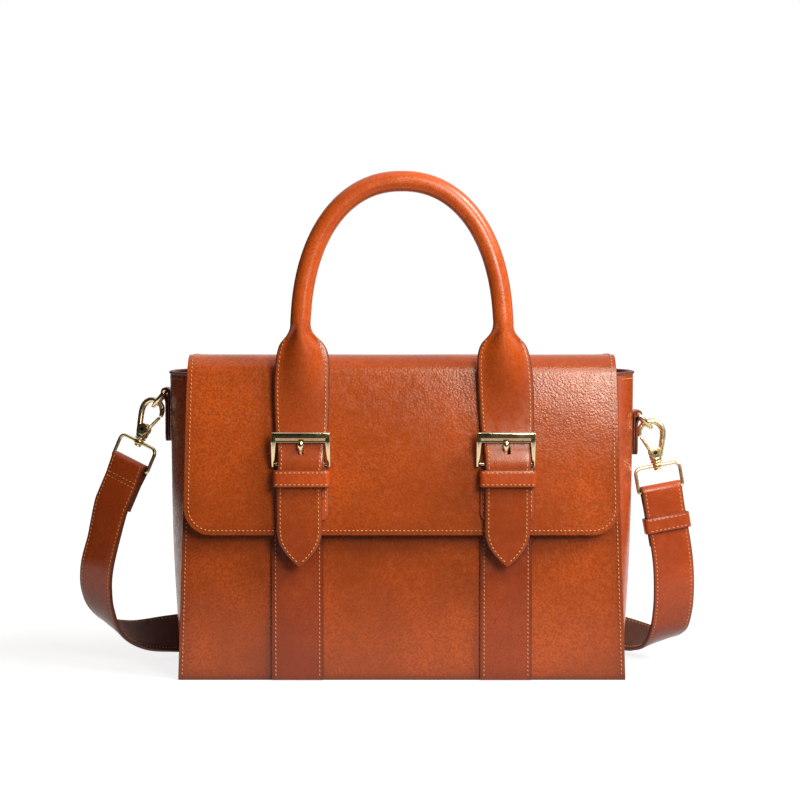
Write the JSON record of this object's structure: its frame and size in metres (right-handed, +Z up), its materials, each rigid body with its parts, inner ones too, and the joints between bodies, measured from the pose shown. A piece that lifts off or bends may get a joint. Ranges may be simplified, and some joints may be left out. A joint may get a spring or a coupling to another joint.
{
  "type": "crossbody satchel",
  "caption": "Leather satchel with a bellied body, a flap held by buckled straps, a rolled top handle and a shoulder strap on swivel snap hooks.",
  "frame": {"origin": "middle of the base's underside, on the surface the bag stands on", "axes": "+X to the viewer's right, +Y to the back (the flap's front looks to -Y), +Z up"},
  "size_m": [0.4281, 0.2295, 0.3388],
  "materials": {
    "tan_leather": "grained cognac leather, waxed",
    "gold_brass": "pale gold plating, polished",
    "snap_steel": "satin",
    "lining_cloth": "woven cotton",
    "stiffener_board": "fibreboard",
    "handle_rope": "twisted cotton"
  },
  "bodies": {
    "bag": {"front_panel": "tan_leather", "back_panel": "tan_leather", "base_panel": "tan_leather", "base_board": "stiffener_board", "bag_lining": "lining_cloth", "flap_anchor": "tan_leather", "shoulder_strap": "tan_leather", "left_gusset": "tan_leather", "right_gusset": "tan_leather", "left_front_strap": "tan_leather", "right_front_strap": "tan_leather", "left_snap_socket": "snap_steel", "right_snap_socket": "snap_steel", "left_ring_tab": "tan_leather", "right_ring_tab": "tan_leather"},
    "flap": {"flap": "tan_leather", "flap_lining": "lining_cloth", "left_snap_stud": "snap_steel", "right_snap_stud": "snap_steel", "left_handle_strap": "tan_leather", "right_handle_strap": "tan_leather", "left_chape": "tan_leather", "right_chape": "tan_leather", "left_keeper": "tan_leather", "right_keeper": "tan_leather"},
    "handle": {"handle_cover": "tan_leather", "handle_core": "handle_rope"},
    "strap_slider": {"strap_keeper": "tan_leather"},
    "left_buckle": {"left_buckle_frame": "gold_brass"},
    "left_prong": {"left_buckle_prong": "gold_brass"},
    "left_ring": {"left_d_ring": "gold_brass"},
    "left_loop": {"left_swivel_loop": "gold_brass"},
    "left_hook": {"left_hook_body": "gold_brass", "left_gate_pin": "gold_brass", "left_gate_spring": "snap_steel"},
    "left_gate": {"left_hook_gate": "gold_brass"},
    "right_buckle": {"right_buckle_frame": "gold_brass"},
    "right_prong": {"right_buckle_prong": "gold_brass"},
    "right_ring": {"right_d_ring": "gold_brass"},
    "right_loop": {"right_swivel_loop": "gold_brass"},
    "right_hook": {"right_hook_body": "gold_brass", "right_gate_pin": "gold_brass", "right_gate_spring": "snap_steel"},
    "right_gate": {"right_hook_gate": "gold_brass"}
  },
  "joints": [
    {"name": "flap_hinge", "type": "hinge", "parent": "bag", "child": "flap", "pos_m": [0, 0.0514, 0.2155], "axis": [-1, 0, 0], "range_deg": [0, 175]},
    {"name": "handle_fold", "type": "hinge", "parent": "flap", "child": "handle", "pos_m": [0, -0.06705, 0.232], "axis": [1, 0, 0], "range_deg": [-60, 85], "stiffness_Nm_per_rad": 0.12},
    {"name": "keeper_slide", "type": "slide", "parent": "bag", "child": "strap_slider", "axis": [-0.1736, 0, 0.9848], "range_m": [-0.01, 0.006]},
    {"name": "left_buckle_tilt", "type": "hinge", "parent": "flap", "child": "left_buckle", "pos_m": [-0.068, -0.0635, 0.1463], "axis": [1, 0, 0], "range_deg": [0, 10]},
    {"name": "left_prong_lift", "type": "hinge", "parent": "left_buckle", "child": "left_prong", "pos_m": [-0.068, -0.0635, 0.1463], "axis": [1, 0, 0], "range_deg": [0, 6]},
    {"name": "left_ring_swing", "type": "hinge", "parent": "bag", "child": "left_ring", "pos_m": [-0.16257, 0, 0.1915], "axis": [0, -1, 0], "range_deg": [-2, 4]},
    {"name": "left_loop_tilt", "type": "hinge", "parent": "bag", "child": "left_loop", "pos_m": [-0.18824, 0, 0.14112], "axis": [0.8128, -0.4695, -0.345], "range_deg": [-1, 1]},
    {"name": "left_hook_swivel", "type": "hinge", "parent": "left_loop", "child": "left_hook", "pos_m": [-0.17269, 0, 0.17775], "axis": [0.3907, 0, 0.9205], "range_deg": [-4, 8]},
    {"name": "left_gate_open", "type": "hinge", "parent": "left_hook", "child": "left_gate", "pos_m": [-0.17801, 0, 0.16523], "axis": [-0.4322, -0.8829, 0.1834], "range_deg": [0, 30], "stiffness_Nm_per_rad": 0.02, "springref_deg": -11.46, "deforming": ["left_gate_spring"]},
    {"name": "right_buckle_tilt", "type": "hinge", "parent": "flap", "child": "right_buckle", "pos_m": [0.068, -0.0635, 0.1463], "axis": [1, 0, 0], "range_deg": [0, 10]},
    {"name": "right_prong_lift", "type": "hinge", "parent": "right_buckle", "child": "right_prong", "pos_m": [0.068, -0.0635, 0.1463], "axis": [1, 0, 0], "range_deg": [0, 6]},
    {"name": "right_ring_swing", "type": "hinge", "parent": "bag", "child": "right_ring", "pos_m": [0.16244, 0, 0.176], "axis": [0, 1, 0], "range_deg": [-2, 6]},
    {"name": "right_loop_tilt", "type": "hinge", "parent": "bag", "child": "right_loop", "pos_m": [0.17954, 0, 0.12362], "axis": [0.9794, 0.1045, 0.1727], "range_deg": [-2, 2]},
    {"name": "right_hook_swivel", "type": "hinge", "parent": "right_loop", "child": "right_hook", "pos_m": [0.17263, 0, 0.16281], "axis": [-0.1736, 0, 0.9848], "range_deg": [-12, 12]},
    {"name": "right_gate_open", "type": "hinge", "parent": "right_hook", "child": "right_gate", "pos_m": [0.17499, 0, 0.14942], "axis": [-0.1029, 0.9945, -0.0182], "range_deg": [0, 30], "stiffness_Nm_per_rad": 0.02, "springref_deg": -11.46, "deforming": ["right_gate_spring"]}
  ]
}
